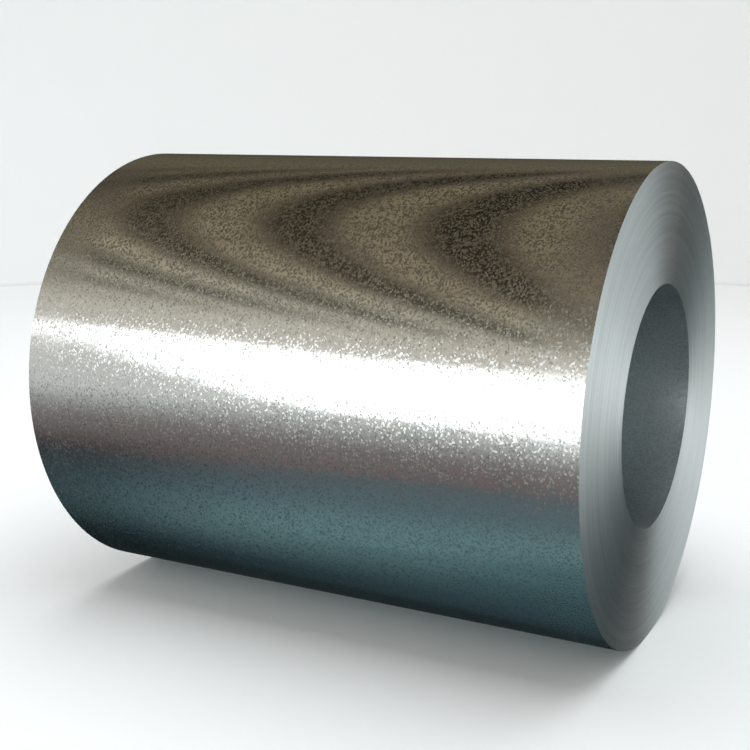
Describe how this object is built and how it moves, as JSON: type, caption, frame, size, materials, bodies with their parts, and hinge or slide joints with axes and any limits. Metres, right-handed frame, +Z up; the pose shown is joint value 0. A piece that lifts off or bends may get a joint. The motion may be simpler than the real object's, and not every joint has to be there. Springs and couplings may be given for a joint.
{
  "type": "steel coil",
  "caption": "Galvanised steel strip wound into a tight coil with an open round bore, lying on its side; raw stock that is uncoiled on a mandrel.",
  "frame": {"origin": "on the floor under the middle of the coil", "axes": "+X along the axis of the bore towards the end that the picture shows, +Y to the back, +Z up"},
  "size_m": [1.25, 1.0077, 1.0063],
  "materials": {
    "galvanised_strip": "hot-dip galvanised, bright with a fine spangle; bare sheared strip edges on the two ends"
  },
  "bodies": {
    "root": {"coil": "galvanised_strip"}
  },
  "joints": []
}
